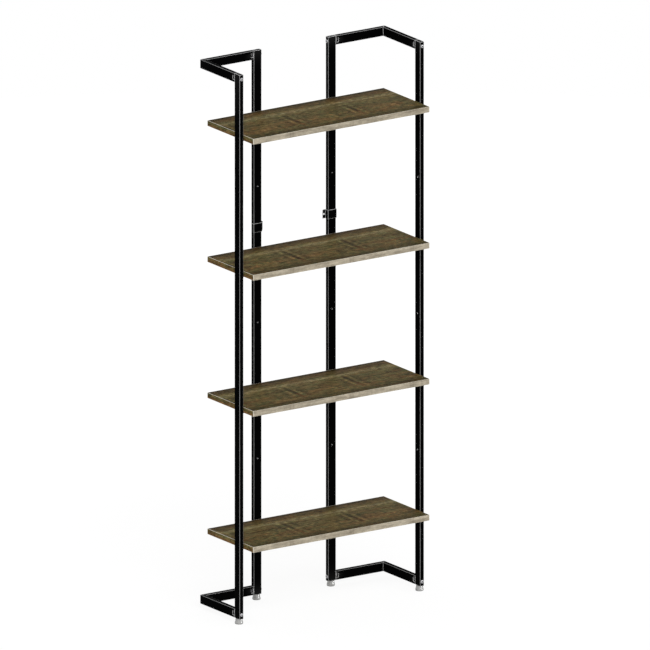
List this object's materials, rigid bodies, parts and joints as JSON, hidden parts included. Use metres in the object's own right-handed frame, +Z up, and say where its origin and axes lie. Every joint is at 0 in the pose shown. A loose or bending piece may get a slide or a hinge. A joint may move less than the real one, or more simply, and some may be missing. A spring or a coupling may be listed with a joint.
{
  "type": "shelving unit",
  "caption": "Tall open shelving unit: wood boards held between upright rectangular steel tubes, with mitred corner arms, screw-adjusted feet and wall clips.",
  "frame": {"origin": "on the floor, at the centre of the overall box", "axes": "+X to the right seen from the front, +Y towards the wall, +Z up"},
  "size_m": [0.7304, 0.2912, 1.8468],
  "materials": {
    "black_steel": "satin black powder coat",
    "zinc_steel": "bright zinc plate",
    "dark_zinc": "dark grey zinc plate",
    "grey_plastic": "moulded light grey nylon",
    "black_plastic": "moulded black plastic",
    "board_wood": "dark rustic brown-olive wood grain, satin",
    "band_wood": "pale beige wood grain edge strip"
  },
  "bodies": {
    "frame": {"arm_bottom_left_back": "black_steel", "arm_bottom_left_side": "black_steel", "arm_bottom_right_back": "black_steel", "arm_bottom_right_side": "black_steel", "arm_top_left_back": "black_steel", "arm_top_left_side": "black_steel", "arm_top_right_back": "black_steel", "arm_top_right_side": "black_steel", "bracket_screws": "zinc_steel", "end_plate_bottom_left_back": "black_steel", "end_plate_bottom_left_side": "black_steel", "end_plate_bottom_right_back": "black_steel", "end_plate_bottom_right_side": "black_steel", "end_plate_top_left_back": "black_steel", "end_plate_top_left_side": "black_steel", "end_plate_top_right_back": "black_steel", "end_plate_top_right_side": "black_steel", "foot_plug_front_left": "zinc_steel", "foot_plug_front_right": "zinc_steel", "foot_plug_rear_left": "zinc_steel", "foot_plug_rear_right": "zinc_steel", "frame_bolts": "zinc_steel", "frame_nuts": "dark_zinc", "post_front_left": "black_steel", "post_front_right": "black_steel", "post_rear_left": "black_steel", "post_rear_right": "black_steel", "shelf_board_1": "board_wood", "shelf_board_2": "board_wood", "shelf_board_3": "board_wood", "shelf_board_4": "board_wood", "shelf_brackets_1": "black_steel", "shelf_brackets_2": "black_steel", "shelf_brackets_3": "black_steel", "shelf_brackets_4": "black_steel", "shelf_front_band_1": "band_wood", "shelf_front_band_2": "band_wood", "shelf_front_band_3": "band_wood", "shelf_front_band_4": "band_wood", "threaded_inserts": "dark_zinc", "top_cap_front_left": "black_plastic", "top_cap_front_right": "black_plastic", "top_cap_rear_left": "black_plastic", "top_cap_rear_right": "black_plastic", "wall_clip_left": "black_steel", "wall_clip_right": "black_steel", "wood_screws": "zinc_steel"},
    "foot_front_left": {"foot_cone_front_left": "grey_plastic", "foot_stem_front_left": "zinc_steel"},
    "foot_front_right": {"foot_cone_front_right": "grey_plastic", "foot_stem_front_right": "zinc_steel"},
    "foot_rear_left": {"foot_cone_rear_left": "grey_plastic", "foot_stem_rear_left": "zinc_steel"},
    "foot_rear_right": {"foot_cone_rear_right": "grey_plastic", "foot_stem_rear_right": "zinc_steel"},
    "glide_front_left": {"foot_glide_front_left": "grey_plastic"},
    "glide_front_right": {"foot_glide_front_right": "grey_plastic"},
    "glide_rear_left": {"foot_glide_rear_left": "grey_plastic"},
    "glide_rear_right": {"foot_glide_rear_right": "grey_plastic"}
  },
  "joints": [
    {"name": "foot_front_left_extend", "type": "slide", "parent": "frame", "child": "glide_front_left", "axis": [0, 0, -1], "range_m": [0, 0.006]},
    {"name": "foot_front_left_turn", "type": "hinge", "parent": "glide_front_left", "child": "foot_front_left", "pos_m": [-0.3512, -0.0749, 0], "axis": [0, 0, -1], "range_deg": [0, 1728]},
    {"name": "foot_front_right_extend", "type": "slide", "parent": "frame", "child": "glide_front_right", "axis": [0, 0, -1], "range_m": [0, 0.006]},
    {"name": "foot_front_right_turn", "type": "hinge", "parent": "glide_front_right", "child": "foot_front_right", "pos_m": [0.3512, -0.0749, 0], "axis": [0, 0, -1], "range_deg": [0, 1728]},
    {"name": "foot_rear_left_extend", "type": "slide", "parent": "frame", "child": "glide_rear_left", "axis": [0, 0, -1], "range_m": [0, 0.006]},
    {"name": "foot_rear_left_turn", "type": "hinge", "parent": "glide_rear_left", "child": "foot_rear_left", "pos_m": [-0.1447, 0.1316, 0], "axis": [0, 0, -1], "range_deg": [0, 1728]},
    {"name": "foot_rear_right_extend", "type": "slide", "parent": "frame", "child": "glide_rear_right", "axis": [0, 0, -1], "range_m": [0, 0.006]},
    {"name": "foot_rear_right_turn", "type": "hinge", "parent": "glide_rear_right", "child": "foot_rear_right", "pos_m": [0.1447, 0.1316, 0], "axis": [0, 0, -1], "range_deg": [0, 1728]}
  ],
  "couplings": [
    {"joint": "foot_front_left_extend", "follows": "foot_front_left_turn", "m_per_rad": 0.00019894},
    {"joint": "foot_front_right_extend", "follows": "foot_front_right_turn", "m_per_rad": 0.00019894},
    {"joint": "foot_rear_left_extend", "follows": "foot_rear_left_turn", "m_per_rad": 0.00019894},
    {"joint": "foot_rear_right_extend", "follows": "foot_rear_right_turn", "m_per_rad": 0.00019894}
  ]
}
